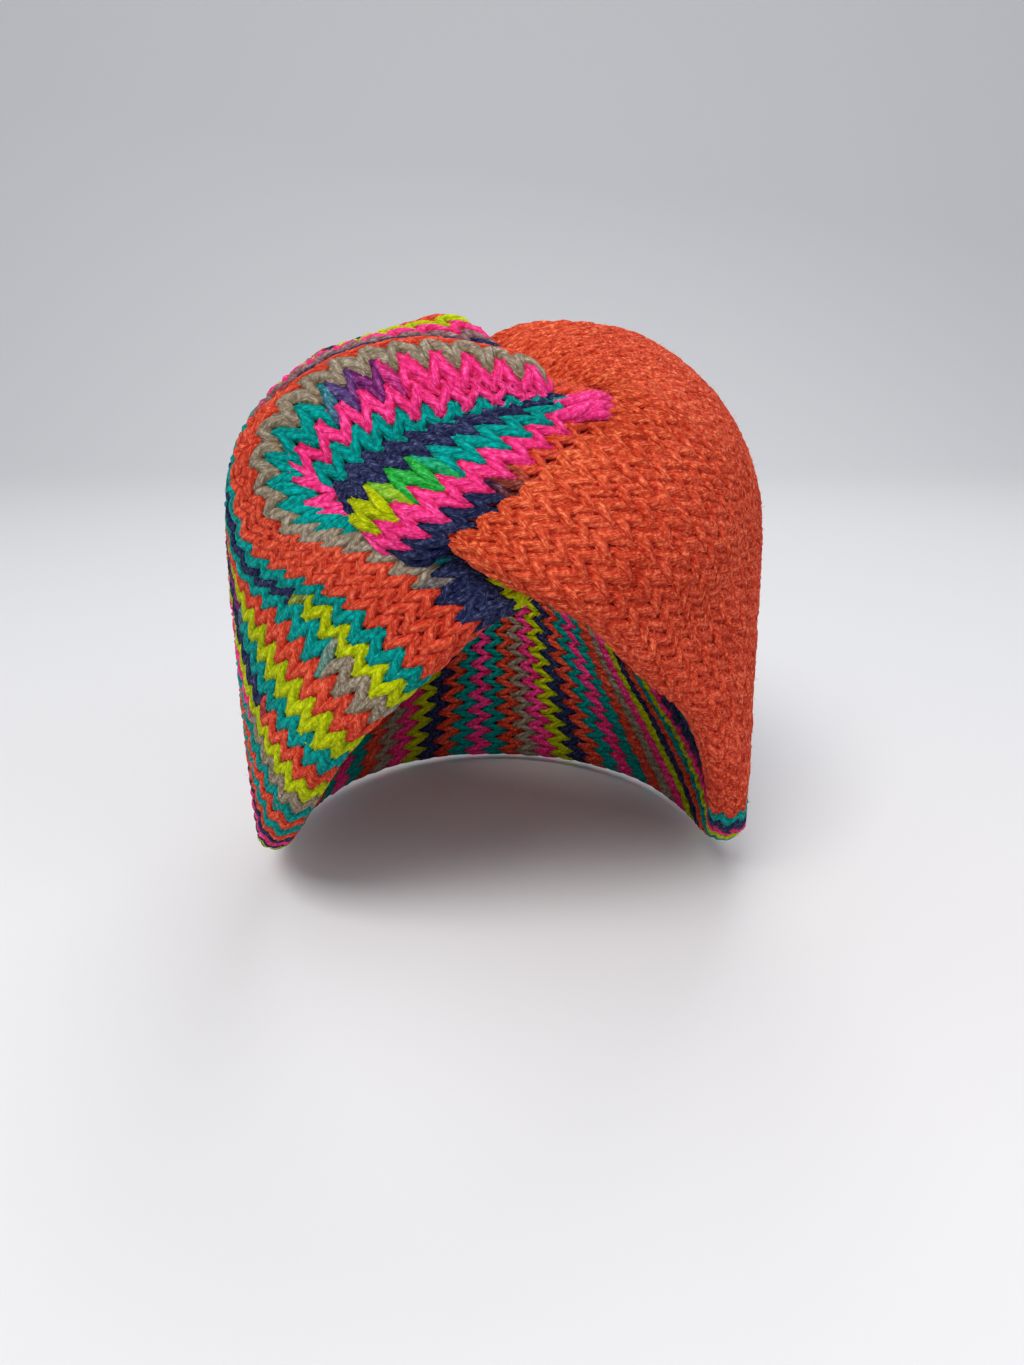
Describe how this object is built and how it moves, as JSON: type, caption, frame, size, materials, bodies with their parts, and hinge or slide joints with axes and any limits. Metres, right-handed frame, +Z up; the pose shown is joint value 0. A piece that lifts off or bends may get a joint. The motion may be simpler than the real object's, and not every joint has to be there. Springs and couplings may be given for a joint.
{
  "type": "knitted twist ear warmer",
  "caption": "Wide knitted head band with a hooked and sewn twist at the forehead, one end striped and one plain, that keeps the ears warm.",
  "frame": {"origin": "middle of the hollow that the head fills", "axes": "+Z up towards the crown, -Y out of the forehead where the twist is, +X towards the coral end"},
  "size_m": [0.189, 0.2284, 0.2033],
  "materials": {
    "striped_yarn": "matte plied yarn in many colours",
    "coral_yarn": "matte fuzzy yarn"
  },
  "bodies": {
    "root": {"striped_band": "striped_yarn", "coral_band": "coral_yarn"}
  },
  "joints": []
}
